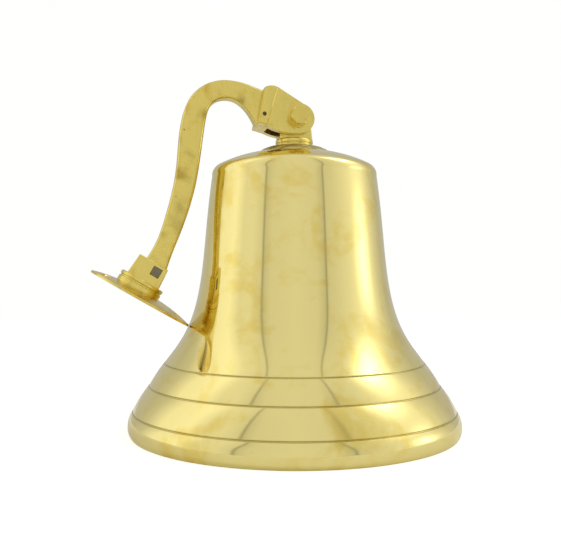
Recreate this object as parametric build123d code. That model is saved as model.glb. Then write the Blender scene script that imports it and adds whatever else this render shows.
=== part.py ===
from build123d import *
import os
from math import cos, radians, sin

# A cast brass ship bell that stands on its mouth, with its gooseneck wall bracket swung down beside it.
# Frame: origin at the centre of the mouth, +Z up the bell's axis, the bracket towards -X, the pivot
# bolt along Y. Lengths are millimetres.

# Bell
RIM_Z = 0.0
LIP_INNER_R, LIP_FLAT_R = 119.5, 125.8
GROOVES = ((123.8, 17.0), (111.6, 36.0), (100.2, 52.7))  # radius and height of the turned lines
GROOVE_CUT_R = 0.9
CROWN_TOP_Z, CROWN_INNER_Z = 213.3, 207.8
CROWN_HOLE_R = 7.4

# Hanger: pad, round foot, flat tongue with the pivot eye, and the stud through the crown
PAD_R, PAD_TOP_R, PAD_TOP_Z = 29.0, 17.5, 219.0
HANGER_R, HANGER_TOP_Z = 14.6, 224.8
PIVOT_Z = 240.0
TONGUE_HALF, TONGUE_EYE_R, TONGUE_THICK = 13.6, 11.5, 13.0
STUD_R, STUD_END_Z = 7.0, 186.0
CROWN_WASHER_T, CLAMP_NUT_H, LOCK_NUT_H, CROWN_NUT_AF = 2.5, 11.0, 6.0, 22.0
RUNNING = 0.06  # radial clearance of the turning pins
FIT = 0.02  # radial clearance of screwed and pressed parts in one body

# Pivot bolt, M8
BOLT_R, BOLT_HEAD_H, NUT_H, HEX_AF = 4.0, 6.5, 6.5, 13.0
WASHER_R, WASHER_T = 8.0, 1.8

# Fork head
FORK_HALF, COLLAR_HALF, SLOT_HALF = 13.5, 14.3, 7.0
CHEEK_HOLE_R = 4.25
COLLAR_LOW, COLLAR_HIGH = (-31.3, 233.8), (-25.9, 261.5)  # the face that the arm butts against
FORK_TENON = (19.0, 8.0, 7.0)  # height, depth, length
FORK_PIN_R, FORK_PIN_DROP = 1.6, 6.0
SLOT_START = 8.6  # from the butting face to the end of the slot

# Gooseneck arm
ARM_HALF, ARM_ROUND = 6.0, 2.6

# Wall plate and foot, in the foot's own frame: x down the plate, z out of its front face
PLATE_TILT = 30.2
PLATE_CENTRE = (-118.5, 100.9)
PLATE_R, PLATE_EDGE, PLATE_CROWN = 41.0, 1.7, 6.4
SCREW_PCD, SCREW_HOLE_R, SCREW_SINK_R = 68.0, 2.8, 4.8
SCREW_ANGLES = (-150, -30, 90)
BOSS_X, BOSS_R, BOSS_SEAT, BOSS_TOP = -5.2, 17.2, 5.0, 13.5
BLOCK_LEN, BLOCK_DEPTH, BLOCK_TOP, BLOCK_TAPER = 26.0, 21.0, 29.3, 4.0
TENON_X, TENON_LEN, TENON_DEPTH, TENON_END = -2.5, 14.4, 9.0, 16.0
KEY_SIDE, KEY_X, KEY_Z, KEY_HALF = 7.0, -0.2, 23.4, 9.6
FOOT_SCREW_R, FOOT_SCREW_HEAD_R, FOOT_SCREW_TIP = 4.0, 7.6, 13.4

# Clapper and its hanging gear
STAPLE_Z, STAPLE_R, STAPLE_THICK = 170.0, 10.0, 9.0
PIN_R = 4.0
SPLIT_PIN_Y, SPLIT_PIN_TURN = 12.6, 25
WIRE_R = 2.6  # bar radius of the shackle's bow and of the clapper's eye
BOW_R, BOW_Z = 8.0, 150.0
EAR_R, EAR_IN, EAR_OUT = 7.0, 5.3, 10.7
LINK_GAP = 0.3
EYE_MAJOR_R = 8.0
SWING_Z = BOW_Z - BOW_R + 2 * WIRE_R + LINK_GAP  # the axis of the clapper's own swing
ROD_R, ROD_END_Z = 3.6, 20.4
BALL_R, BALL_Z = 17.5, 38.0
BALL_PIN_R, BALL_PIN_Z = 1.5, 50.0
LANYARD_Z, LANYARD_R, LANYARD_HOLE_R, LANYARD_THICK = 12.4, 6.2, 3.2, 4.4


def at(x, z):
    """A point of the bracket's middle plane."""
    return (x, 0, z)


def foot_frame():
    """The wall plate's frame: origin at the centre of its back face, z out of its front."""
    tilt = radians(PLATE_TILT)
    return Plane(
        origin=at(*PLATE_CENTRE), x_dir=(cos(tilt), 0, -sin(tilt)), z_dir=(sin(tilt), 0, cos(tilt))
    )


def foot_point(x, z):
    tilt = radians(PLATE_TILT)
    return at(
        PLATE_CENTRE[0] + x * cos(tilt) + z * sin(tilt), PLATE_CENTRE[1] - x * sin(tilt) + z * cos(tilt)
    )


def collar_frame():
    """The joint between arm and fork head: x up the butting face, z into the fork head."""
    (x0, z0), (x1, z1) = COLLAR_LOW, COLLAR_HIGH
    return Plane(
        origin=at((x0 + x1) / 2, (z0 + z1) / 2), x_dir=(x1 - x0, 0, z1 - z0), z_dir=(z1 - z0, 0, x0 - x1)
    )


def turned(edges):
    """A solid of revolution about Z from the edges of a half section in the XZ plane."""
    return revolve(make_face(edges), Axis.Z)


def y_rod(radius, y0, y1, x=0.0, z=0.0):
    """A round bar along Y."""
    return Pos(x, (y0 + y1) / 2, z) * Rot(90, 0, 0) * Cylinder(radius, abs(y1 - y0))


def hexagon(flats, height, bore):
    """A hexagon nut standing on z = 0 with its upper corners bevelled."""
    blank = extrude(RegularPolygon(flats / 2, 6, major_radius=False), height)
    bevel = Pos(0, 0, height / 2) * Cylinder(flats / 2 * 1.13, height)
    bevel = chamfer(bevel.edges().group_by(Axis.Z)[-1], flats * 0.06)
    hole = Cylinder(bore, 3 * height) if bore else None
    body = blank & bevel
    return body - hole if hole else body


# ---- bell ----------------------------------------------------------------------------------------


def bell_shell():
    bottom_groove, middle_groove, top_groove = (at(*g) for g in GROOVES)
    lip_in, lip_out = at(LIP_INNER_R, RIM_Z), at(LIP_FLAT_R, RIM_Z)
    shoulder, dome_edge, dome_flat = at(63.9, 195.5), at(60.0, 203.3), at(29.5, CROWN_TOP_Z)
    outside = [
        Line(lip_in, lip_out),
        Spline(lip_out, at(127.1, 2.5), at(127.5, 8.0), at(126.2, 13.0), bottom_groove),
        ThreePointArc(bottom_groove, at(118.7, 26.5), middle_groove),
        ThreePointArc(middle_groove, at(106.4, 44.5), top_groove),
        Spline(
            top_groove, at(88.9, 68), at(80.2, 85), at(73.6, 110), at(68.9, 150), at(65.3, 185), shoulder
        ),
        ThreePointArc(shoulder, at(63.0, 200.2), dome_edge),
        ThreePointArc(dome_edge, at(45.5, 209.4), dome_flat),
        Line(dome_flat, at(CROWN_HOLE_R, CROWN_TOP_Z)),
    ]
    roof = at(25.0, CROWN_INNER_Z)
    inside = [
        Line(at(CROWN_HOLE_R, CROWN_TOP_Z), at(CROWN_HOLE_R, CROWN_INNER_Z)),
        Line(at(CROWN_HOLE_R, CROWN_INNER_Z), roof),
        Spline(
            roof, at(44, 204.6), at(55, 198.5), at(60, 186), at(63.3, 160), at(67.0, 122), at(73.3, 90),
            at(86, 62), at(102, 38.5), at(114.2, 18), lip_in,
            tangents=((1, 0, 0), (0.05, 0, -1)),
        ),
    ]
    shell = turned(outside + inside)
    for radius, height in GROOVES:
        shell -= Pos(0, 0, height) * Torus(radius + GROOVE_CUT_R * 0.3, GROOVE_CUT_R)
    return shell


def crown_pad():
    low, high = at(PAD_R, CROWN_TOP_Z + 1.1), at(PAD_TOP_R, PAD_TOP_Z)
    base, hole_low = at(PAD_R, CROWN_TOP_Z), at(CROWN_HOLE_R, CROWN_TOP_Z)
    hole_high = at(CROWN_HOLE_R, PAD_TOP_Z)
    return turned([
        Line(base, low), ThreePointArc(low, at(23.8, 217.6), high), Line(high, hole_high),
        Line(hole_high, hole_low), Line(hole_low, base),
    ])


def hanger():
    foot_height = HANGER_TOP_Z - PAD_TOP_Z
    foot = Pos(0, 0, PAD_TOP_Z + foot_height / 2) * Cylinder(HANGER_R, foot_height)
    foot = fillet(foot.edges().group_by(Axis.Z)[-1], 1.6)
    foot -= Pos(0, 0, PAD_TOP_Z + 2.0) * Torus(HANGER_R, 0.7)
    left, right = at(-TONGUE_EYE_R, PIVOT_Z), at(TONGUE_EYE_R, PIVOT_Z)
    left_foot, right_foot = at(-TONGUE_HALF, HANGER_TOP_Z - 3), at(TONGUE_HALF, HANGER_TOP_Z - 3)
    face = make_face([
        Line(left_foot, left), ThreePointArc(left, at(0, PIVOT_Z + TONGUE_EYE_R), right),
        Line(right, right_foot), Line(right_foot, left_foot),
    ])
    tongue = extrude(face, TONGUE_THICK / 2, both=True)
    outer_edges = tongue.edges().group_by(Axis.Y)[0] + tongue.edges().group_by(Axis.Y)[-1]
    tongue = fillet([e for e in outer_edges if e.center().Z > HANGER_TOP_Z], 1.2)
    stud = Pos(0, 0, (STUD_END_Z + PAD_TOP_Z) / 2) * Cylinder(STUD_R, PAD_TOP_Z - STUD_END_Z)
    stud = chamfer(stud.edges().group_by(Axis.Z)[0], 0.8)
    body = foot + tongue + stud
    body -= y_rod(BOLT_R + RUNNING, -20, 20, z=PIVOT_Z)
    return body - Pos(0, 0, STUD_END_Z + 7) * Cylinder(PIN_R + FIT, 14)


def inner_washer():
    thick = CROWN_WASHER_T
    return Pos(0, 0, CROWN_INNER_Z - thick / 2) * (Cylinder(17, thick) - Cylinder(STUD_R + 0.3, 3 * thick))


def clamp_nut():
    top = CROWN_INNER_Z - CROWN_WASHER_T
    return Pos(0, 0, top) * Rot(180, 0, 0) * hexagon(CROWN_NUT_AF, CLAMP_NUT_H, STUD_R + FIT)


def lock_nut():
    top = CROWN_INNER_Z - CROWN_WASHER_T - CLAMP_NUT_H
    return Pos(0, 0, top) * Rot(180, 0, 0) * hexagon(CROWN_NUT_AF, LOCK_NUT_H, STUD_R + FIT)


# ---- clapper gear --------------------------------------------------------------------------------


def clapper_staple():
    """The screwed eye in the foot of the hanger's stud that carries the shackle."""
    shank_top = STUD_END_Z + 13
    shank = Pos(0, 0, (shank_top + STAPLE_Z) / 2) * Cylinder(PIN_R, shank_top - STAPLE_Z)
    eye = y_rod(STAPLE_R, -STAPLE_THICK / 2, STAPLE_THICK / 2, z=STAPLE_Z)
    eye = fillet(eye.edges().filter_by(GeomType.CIRCLE), 2.0)
    return shank + eye - y_rod(PIN_R + RUNNING, -10, 10, z=STAPLE_Z)


def staple_nut():
    return Pos(0, 0, STUD_END_Z) * Rot(180, 0, 0) * hexagon(HEX_AF, 4.0, PIN_R + FIT)


def clapper_shackle():
    """A U of round bar with an ear at the top of each leg."""
    leg = (EAR_IN + EAR_OUT) / 2
    path = Line((0, -leg, STAPLE_Z), (0, -leg, BOW_Z)) + ThreePointArc(
        (0, -leg, BOW_Z), (0, 0, BOW_Z - BOW_R), (0, leg, BOW_Z)
    ) + Line((0, leg, BOW_Z), (0, leg, STAPLE_Z))
    bow = sweep(Plane(origin=(0, -leg, STAPLE_Z), z_dir=(0, 0, -1)) * Circle(WIRE_R), path=path)
    for side in (-1, 1):
        bow += y_rod(EAR_R, side * EAR_IN, side * EAR_OUT, z=STAPLE_Z)
    return bow - y_rod(PIN_R + FIT, -20, 20, z=STAPLE_Z)


def shackle_pin():
    pin = y_rod(PIN_R, -EAR_OUT, 15.5, z=STAPLE_Z)
    pin += y_rod(6.2, -EAR_OUT - 2.6, -EAR_OUT, z=STAPLE_Z)
    return pin - Pos(0, SPLIT_PIN_Y, STAPLE_Z) * Rot(0, SPLIT_PIN_TURN, 0) * Cylinder(1.02, 20)


def split_pin():
    """The cotter through the end of the shackle pin: an eye and two legs bent apart."""
    shank = Cylinder(1.0, 12.4)
    eye = Pos(0, 0, 8.4) * Rot(90, 0, 0) * Torus(2.4, 0.9)
    pin = shank + eye
    for side in (-1, 1):
        pin += Pos(0, 0, -6.1) * Rot(0, side * 32, 0) * Pos(0, 0, -1.8) * Cylinder(0.8, 3.6)
    return Pos(0, SPLIT_PIN_Y, STAPLE_Z) * Rot(0, SPLIT_PIN_TURN, 0) * pin


def clapper_rod():
    centre_z = SWING_Z - EYE_MAJOR_R
    eye = Pos(0, 0, centre_z) * Rot(90, 0, 0) * Torus(EYE_MAJOR_R, WIRE_R)
    top = centre_z - EYE_MAJOR_R + 0.6
    rod = Pos(0, 0, (top + ROD_END_Z) / 2) * Cylinder(ROD_R, top - ROD_END_Z)
    rod += Pos(0, 0, top - 5) * Cone(ROD_R, WIRE_R + 2.2, 8)
    rod -= y_rod(BALL_PIN_R + FIT, -20, 20, z=BALL_PIN_Z)
    rod += eye
    return rod - Pos(0, 0, ROD_END_Z + 4) * Cylinder(2 + FIT, 8.2)


def clapper_ball():
    ball = Pos(0, 0, BALL_Z) * Sphere(BALL_R)
    ball -= Pos(0, 0, BALL_Z) * Cylinder(ROD_R + FIT, 3 * BALL_R)
    return ball - y_rod(BALL_PIN_R + FIT, -20, 20, z=BALL_PIN_Z)


def ball_pin():
    return y_rod(BALL_PIN_R, -20, 20, z=BALL_PIN_Z) & Pos(0, 0, BALL_Z) * Sphere(BALL_R - 0.15)


def lanyard_eye():
    """The eye under the ball that the bell rope ties to."""
    eye = y_rod(LANYARD_R, -LANYARD_THICK / 2, LANYARD_THICK / 2, z=LANYARD_Z)
    eye = fillet(eye.edges().filter_by(GeomType.CIRCLE), 1.2)
    collar = Pos(0, 0, ROD_END_Z - 1.6) * Cylinder(5.0, 3.2)
    spigot = Pos(0, 0, ROD_END_Z + 3) * Cylinder(2.0, 7.0)
    return eye + collar + spigot - y_rod(LANYARD_HOLE_R, -10, 10, z=LANYARD_Z)


# ---- bracket -------------------------------------------------------------------------------------


def bracket_arm():
    foot_left, foot_right = foot_point(-11.4, BLOCK_TOP), foot_point(6.0, BLOCK_TOP)
    low, high = at(*COLLAR_LOW), at(*COLLAR_HIGH)
    outer = Spline(
        foot_left, at(-108.4, 140.5), at(-100.4, 161.7), at(-92.1, 197.1), at(-87.9, 235.5),
        at(-79.7, 255.4), at(-61.8, 266.7), at(-44, 266.8), high,
    )
    inner = Spline(
        low, at(-39.0, 246.0), at(-47.5, 252.3), at(-56, 253.2), at(-63.6, 249.9), at(-69.8, 234.5),
        at(-75.6, 194.5), at(-86.1, 156.8), at(-93.6, 137.5), foot_right,
    )
    side_face = make_face([outer, Line(high, low), inner, Line(foot_right, foot_left)])
    bar = extrude(side_face, ARM_HALF, both=True)
    long_edges = [e for e in bar.edges() if e.geom_type == GeomType.BSPLINE]
    bar = fillet(long_edges, ARM_ROUND)
    foot_depth = BLOCK_TOP - TENON_END
    foot_tenon = foot_frame() * Pos(TENON_X, 0, BLOCK_TOP - foot_depth / 2) * Box(
        TENON_LEN, TENON_DEPTH, foot_depth
    )
    height, depth, length = FORK_TENON
    fork_tenon = collar_frame() * Pos(0, 0, length / 2) * Box(height, depth, length)
    bar += foot_tenon + fork_tenon
    bar -= foot_frame() * Pos(KEY_X, 0, KEY_Z) * Box(KEY_SIDE + 0.1, 40, KEY_SIDE + 0.1)
    return bar - fork_pin_bar(FORK_PIN_R + FIT, 30)


def fork_pin_bar(radius, half):
    return collar_frame() * Pos(-FORK_PIN_DROP, 0, 3.4) * Rot(90, 0, 0) * Cylinder(radius, 2 * half)


def fork_pin():
    return fork_pin_bar(FORK_PIN_R, COLLAR_HALF - 0.3)


def fork_head():
    low, high = at(*COLLAR_LOW), at(*COLLAR_HIGH)
    back, tip = at(4.4, 250.2), at(6.5, 229.0)
    brow, chin = at(-13.2, 260.4), at(-23.1, 231.6)
    outline = [
        Line(low, high), ThreePointArc(high, at(-19.6, 262.9), brow), Line(brow, back),
        ThreePointArc(back, at(12.7, 241), tip), ThreePointArc(tip, at(-8.2, 227.8), chin), Line(chin, low),
    ]
    face = make_face(outline)
    cheeks = extrude(face, FORK_HALF, both=True)
    pad_low, pad_high = at(-30.2, 234.6), at(-25.2, 260.6)
    pad_end_high, pad_end_low = at(-16.0, 260.9), at(-24.4, 232.9)
    pad_face = make_face([
        Line(pad_low, pad_high), ThreePointArc(pad_high, at(-20.0, 262.0), pad_end_high),
        Line(pad_end_high, pad_end_low), Line(pad_end_low, pad_low),
    ])
    body = cheeks
    for side in (-1, 1):
        pad = extrude(pad_face, COLLAR_HALF - FORK_HALF + 1, dir=(0, side, 0))
        pad = fillet(pad.edges().group_by(Axis.Y)[-1 if side > 0 else 0], 0.7)
        body += Pos(0, side * (FORK_HALF - 1), 0) * pad
    slot = collar_frame() * Pos(0, 0, 30 + SLOT_START) * Box(60, 2 * SLOT_HALF, 60)
    height, depth, length = FORK_TENON
    socket = collar_frame() * Pos(0, 0, length / 2) * Box(height + 0.1, depth + 0.1, length + 0.2)
    body -= slot
    body -= socket
    body -= y_rod(CHEEK_HOLE_R, -30, 30, z=PIVOT_Z)
    return body - fork_pin_bar(FORK_PIN_R + FIT, 30)


def wall_plate():
    edge_low, edge_high = at(PLATE_R, 0), at(PLATE_R, PLATE_EDGE)
    crown_edge, crown = at(13, PLATE_CROWN), at(0, PLATE_CROWN)
    disc = turned([
        Line(at(0, 0), edge_low), Line(edge_low, edge_high),
        ThreePointArc(edge_high, at(28.5, 4.6), crown_edge), Line(crown_edge, crown), Line(crown, at(0, 0)),
    ])
    for angle in SCREW_ANGLES:
        spot = Rot(0, 0, angle) * Pos(SCREW_PCD / 2, 0, 0)
        disc -= spot * Cylinder(SCREW_HOLE_R, 30)
        disc -= spot * Pos(0, 0, 1.9 + 3) * Cone(SCREW_HOLE_R, SCREW_SINK_R + 3.2, 6)
    disc -= Pos(BOSS_X, 0, BOSS_SEAT + 5) * Cylinder(BOSS_R + 0.1, 10)
    disc -= Pos(BOSS_X, 0, 0) * Cylinder(FOOT_SCREW_R + 0.3, 30)
    disc -= Pos(BOSS_X, 0, 1.7) * Cone(FOOT_SCREW_HEAD_R + 0.4, FOOT_SCREW_R + 0.3, 3.8)
    return foot_frame() * disc


def foot_socket():
    """The round stepped boss and the square socket block that takes the arm's tenon."""
    height = BOSS_TOP - BOSS_SEAT
    boss = Pos(0, 0, BOSS_SEAT + height / 2) * Cylinder(BOSS_R, height)
    boss = fillet(boss.edges().group_by(Axis.Z)[-1], 1.0)
    boss -= Pos(0, 0, BOSS_TOP - 3.4) * Torus(BOSS_R + 0.2, 0.9)
    block = Pos(0, 0, BOSS_TOP - 1) * extrude(
        RectangleRounded(BLOCK_LEN, BLOCK_DEPTH, 1.6), BLOCK_TOP - BOSS_TOP + 1, taper=BLOCK_TAPER
    )
    block = fillet(block.edges().group_by(Axis.Z)[-1], 0.8)
    body = Pos(BOSS_X, 0, 0) * (boss + block)
    depth = BLOCK_TOP - TENON_END
    body -= Pos(TENON_X, 0, TENON_END + depth / 2 + 0.9) * Box(
        TENON_LEN + 0.1, TENON_DEPTH + 0.1, depth + 2
    )
    body -= Pos(KEY_X, 0, KEY_Z) * Box(KEY_SIDE + 0.1, 40, KEY_SIDE + 0.1)
    body -= Pos(BOSS_X, 0, BOSS_SEAT + 4.6) * Cylinder(FOOT_SCREW_R + FIT, 9.2)
    return foot_frame() * body


def foot_screw():
    """The countersunk screw that holds the socket to the plate from behind."""
    cone = Pos(0, 0, 1.8) * Cone(FOOT_SCREW_HEAD_R, FOOT_SCREW_R, 3.4)
    shank = Pos(0, 0, (1.8 + FOOT_SCREW_TIP) / 2) * Cylinder(FOOT_SCREW_R, FOOT_SCREW_TIP - 1.8)
    slot = Box(20, 1.4, 2.4)
    return foot_frame() * Pos(BOSS_X, 0, 0) * (cone + shank - slot)


def foot_key():
    return foot_frame() * Pos(KEY_X, 0, KEY_Z) * Box(KEY_SIDE, 2 * KEY_HALF, KEY_SIDE)


def pivot_bolt():
    end = FORK_HALF + WASHER_T + NUT_H + 2.2
    shank = y_rod(BOLT_R, -FORK_HALF - WASHER_T, end, z=PIVOT_Z)
    shank = chamfer(shank.edges().group_by(Axis.Y)[-1], 0.8)
    head = Pos(0, -FORK_HALF - WASHER_T, PIVOT_Z) * Rot(90, 0, 0) * Rot(0, 0, 12) * hexagon(
        HEX_AF, BOLT_HEAD_H, 0
    )
    return shank + head


def pivot_nut():
    return Pos(0, FORK_HALF + WASHER_T, PIVOT_Z) * Rot(-90, 0, 0) * hexagon(HEX_AF, NUT_H, BOLT_R + FIT)


def pivot_washer(side):
    ring = y_rod(WASHER_R, side * FORK_HALF, side * (FORK_HALF + WASHER_T), z=PIVOT_Z)
    return ring - y_rod(BOLT_R + 0.2, -30, 30, z=PIVOT_Z)


NODES = {
    "bell_shell": bell_shell(),
    "crown_pad": crown_pad(),
    "hanger": hanger(),
    "inner_washer": inner_washer(),
    "clamp_nut": clamp_nut(),
    "lock_nut": lock_nut(),
    "clapper_staple": clapper_staple(),
    "staple_nut": staple_nut(),
    "clapper_shackle": clapper_shackle(),
    "shackle_pin": shackle_pin(),
    "split_pin": split_pin(),
    "clapper_rod": clapper_rod(),
    "clapper_ball": clapper_ball(),
    "ball_pin": ball_pin(),
    "lanyard_eye": lanyard_eye(),
    "bracket_arm": bracket_arm(),
    "fork_head": fork_head(),
    "fork_pin": fork_pin(),
    "wall_plate": wall_plate(),
    "foot_socket": foot_socket(),
    "foot_screw": foot_screw(),
    "foot_key": foot_key(),
    "pivot_bolt": pivot_bolt(),
    "pivot_nut": pivot_nut(),
    "head_washer": pivot_washer(-1),
    "nut_washer": pivot_washer(1),
}

os.makedirs("parts", exist_ok=True)
for name, shape in NODES.items():
    export_step(shape, f"parts/{name}.step")
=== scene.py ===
"""A cast brass ship bell standing on its mouth, with its gooseneck wall bracket swung down beside it."""

import logging
import math
from dataclasses import dataclass, field
from enum import Enum

import bmesh
import bpy
import numpy as np
from mathutils import Matrix, Vector


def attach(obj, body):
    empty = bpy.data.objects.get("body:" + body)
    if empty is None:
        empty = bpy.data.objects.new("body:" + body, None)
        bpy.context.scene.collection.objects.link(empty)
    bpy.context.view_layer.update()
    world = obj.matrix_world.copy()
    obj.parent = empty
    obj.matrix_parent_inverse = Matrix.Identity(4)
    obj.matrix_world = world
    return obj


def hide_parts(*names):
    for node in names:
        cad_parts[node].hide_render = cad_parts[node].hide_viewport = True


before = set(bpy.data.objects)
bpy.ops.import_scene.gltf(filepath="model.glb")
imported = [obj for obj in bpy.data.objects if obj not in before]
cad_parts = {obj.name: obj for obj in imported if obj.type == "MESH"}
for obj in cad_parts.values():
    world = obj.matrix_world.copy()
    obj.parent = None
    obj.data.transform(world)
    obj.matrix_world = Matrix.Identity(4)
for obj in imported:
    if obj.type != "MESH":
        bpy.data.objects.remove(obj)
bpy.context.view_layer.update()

LOG = logging.getLogger("ship_bell")
MM = 0.001
MERGE_DISTANCE = 2e-6  # points nearer than this are one point, in metres
FLAT_ANGLE = 0.6  # faces that meet at less than this many degrees are one flat face
PIT_SHADE, GRIME_AND_SHADE_TONE = 0.12, 0.16  # how much of the dull colour is left in a pit, and under grime and painted shade


# ---- curves and surfaces as whole arrays -----------------------------------------------------------


def smooth_curve(points: list[tuple[float, float]], per_span: int) -> np.ndarray:
    """A natural cubic spline through plane points.

    Each coordinate is a cubic in the chord length between neighbours, with equal first and second
    derivatives where spans meet and no curvature at the two ends.

    Args:
        points: the plane points that the curve goes through.
        per_span: how many steps to take between two points.

    Returns:
        The curve's points, one row each, first and last point included.
    """
    p = np.asarray(points, float)
    h = np.linalg.norm(np.diff(p, axis=0), axis=1)
    n = len(p)
    system, right = np.eye(n), np.zeros_like(p)
    inner = np.arange(1, n - 1)
    system[inner, inner - 1], system[inner, inner + 1] = h[:-1], h[1:]
    system[inner, inner] = 2 * (h[:-1] + h[1:])
    slope = np.diff(p, axis=0) / h[:, None]
    right[1:-1] = 6 * np.diff(slope, axis=0)
    bend = np.linalg.solve(system, right)
    t = np.linspace(0, 1, per_span, endpoint=False)[None, :, None]
    a, b, hh = p[:-1, None], p[1:, None], h[:, None, None]
    ba, bb = bend[:-1, None], bend[1:, None]
    curve = a * (1 - t) + b * t + hh**2 / 6 * (((1 - t) ** 3 - (1 - t)) * ba + (t**3 - t) * bb)
    return np.vstack([curve.reshape(-1, 2), p[-1:]])


def arc_through(start: tuple, middle: tuple, end: tuple, steps: int) -> np.ndarray:
    """The circular arc through three plane points.

    The centre is where the two chords' perpendicular bisectors meet, and the angle about it runs
    evenly from the first point to the last, by way of the middle one.

    Args:
        start, middle, end: plane points.
        steps: the number of steps along the arc.

    Returns:
        The arc's points, one row each.
    """
    a, b, c = (np.asarray(v, float) for v in (start, middle, end))
    rows = 2 * np.array([b - a, c - a])
    centre = np.linalg.solve(rows, [b @ b - a @ a, c @ c - a @ a])
    angle = [math.atan2(*(v - centre)[::-1]) for v in (a, b, c)]
    turn = (angle[2] - angle[0]) % math.tau
    if (angle[1] - angle[0]) % math.tau > turn:
        turn -= math.tau
    at = angle[0] + np.linspace(0, turn, steps + 1)
    return centre + np.linalg.norm(a - centre) * np.c_[np.cos(at), np.sin(at)]


def join(*runs: np.ndarray) -> np.ndarray:
    """Curves end to end, each shared point kept once.

    Args:
        runs: the curves, one row per point.

    Returns:
        All their points in order.
    """
    kept = [runs[0]]
    for run in runs[1:]:
        same = np.linalg.norm(run[0] - kept[-1][-1]) < 1e-6
        kept.append(run[1:] if same else run)
    return np.vstack(kept)


@dataclass
class Surface:
    """A grid of points with its faces, ready to become a mesh.

    Attributes:
        points: an array of (u steps, v steps, 3) points in metres.
        closed_u, closed_v: whether the last row or column joins the first.
        capped: whether the first and last row are filled with one face each.
        masks: values over the grid, stored as float attributes of the points.
    """

    points: np.ndarray
    closed_u: bool = False
    closed_v: bool = True
    capped: bool = False
    masks: dict[str, np.ndarray] = field(default_factory=dict)

    def faces(self) -> np.ndarray:
        """Quads over the grid, each (u, v), (u+1, v), (u+1, v+1), (u, v+1).

        Returns:
            One row of four point numbers per quad.
        """
        nu, nv = self.points.shape[:2]
        u = np.arange(nu if self.closed_u else nu - 1)[:, None]
        v = np.arange(nv if self.closed_v else nv - 1)[None, :]
        u1, v1 = (u + 1) % nu, (v + 1) % nv
        quads = [u * nv + v, u1 * nv + v, u1 * nv + v1, u * nv + v1]
        return np.stack(np.broadcast_arrays(*quads), axis=-1).reshape(-1, 4)


def store_mask(mesh: bpy.types.Mesh, name: str, values: np.ndarray) -> None:
    """Stores one value per point of a mesh.

    Args:
        mesh: the mesh.
        name: the attribute's name.
        values: a value for each point.
    """
    mesh.attributes.new(name, "FLOAT", "POINT").data.foreach_set("value", values.astype(np.float32))


def make_mesh(
    name: str, surfaces: list[Surface], sharp: float = 40.0, merge: bool = False
) -> bpy.types.Object:
    """One object from several surfaces, outward faces, smooth but for its sharp edges.

    Args:
        name: the object's name.
        surfaces: the surfaces it is made of.
        sharp: the angle in degrees past which an edge between two faces stays sharp.
        merge: whether points that coincide, such as those at a pole, are joined.

    Returns:
        The object, linked to the scene.
    """
    points, faces, masks, start = [], [], {}, 0
    for s in surfaces:
        count = s.points.shape[0] * s.points.shape[1]
        points.append(s.points.reshape(-1, 3))
        faces += (s.faces() + start).tolist()
        if s.capped:
            ring = np.arange(s.points.shape[1]) + start
            faces += [ring[::-1].tolist(), (ring + count - len(ring)).tolist()]
        for key in {k for other in surfaces for k in other.masks}:
            masks.setdefault(key, []).append(s.masks.get(key, np.zeros(s.points.shape[:2])).ravel())
        start += count
    mesh = bpy.data.meshes.new(name)
    mesh.from_pydata(np.vstack(points).tolist(), [], faces)
    for key, parts in masks.items():
        store_mask(mesh, key, np.concatenate(parts))
    shape_up(mesh, sharp, merge)
    piece = bpy.data.objects.new(name, mesh)
    bpy.context.scene.collection.objects.link(piece)
    return piece


def shape_up(mesh: bpy.types.Mesh, sharp: float, merge: bool, recalculate: bool = True) -> None:
    """Merges doubles, turns faces outwards and marks sharp edges.

    Args:
        mesh: the mesh to finish.
        sharp: the angle in degrees past which an edge stays sharp.
        merge: whether coinciding points are joined.
        recalculate: whether the faces' directions are worked out again.
    """
    bm = bmesh.new()
    bm.from_mesh(mesh)
    if merge:
        bmesh.ops.remove_doubles(bm, verts=bm.verts, dist=MERGE_DISTANCE)
    if recalculate:
        bmesh.ops.recalc_face_normals(bm, faces=bm.faces)
    limit = math.radians(sharp)
    for face in bm.faces:
        face.smooth = True
    for edge in bm.edges:
        edge.smooth = len(edge.link_faces) == 2 and edge.calc_face_angle(0.0) < limit
    bm.to_mesh(mesh)
    bm.free()


def lathe(
    profile: np.ndarray, segments: int, closed: bool, masks: dict[str, np.ndarray] | None = None
) -> Surface:
    """A surface of revolution about Z.

    A profile point of radius r and height z goes to (r cos a, r sin a, z) for angles a evenly
    round the circle.

    Args:
        profile: (radius, height) rows in metres.
        segments: steps round the circle.
        closed: whether the profile's last point joins its first.
        masks: values along the profile, carried round the circle.

    Returns:
        The surface, u along the profile and v round the circle.
    """
    a = np.linspace(0, math.tau, segments, endpoint=False)
    r, z = profile[:, :1], profile[:, 1:]
    grid = np.stack([r * np.cos(a), r * np.sin(a), z + 0 * a], axis=-1)
    spread = {k: np.repeat(v[:, None], segments, axis=1) for k, v in (masks or {}).items()}
    return Surface(grid, closed_u=closed, masks=spread)


def circle(steps: int) -> np.ndarray:
    """Points (cos a, sin a) evenly round the unit circle.

    Args:
        steps: how many points.

    Returns:
        One row per point.
    """
    a = np.linspace(0, math.tau, steps, endpoint=False)
    return np.c_[np.cos(a), np.sin(a)]


def carried(
    path: np.ndarray, side: np.ndarray, up: np.ndarray, section: np.ndarray, closed: bool
) -> Surface:
    """A section carried along a path: the path's point, plus x times side, plus y times up.

    Args:
        path: (n, 3) points in metres.
        side, up: (n, 3) vectors across the path at each point.
        section: (m, 2) or (n, m, 2) coordinates (x, y) round the section.
        closed: whether the path's end joins its start.

    Returns:
        The surface, u along the path and v round the section, capped where the path is open.
    """
    shape = np.broadcast_to(section, (len(path), *section.shape[-2:]))
    grid = path[:, None] + shape[..., :1] * side[:, None] + shape[..., 1:] * up[:, None]
    return Surface(grid, closed_u=closed, capped=not closed)


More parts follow.
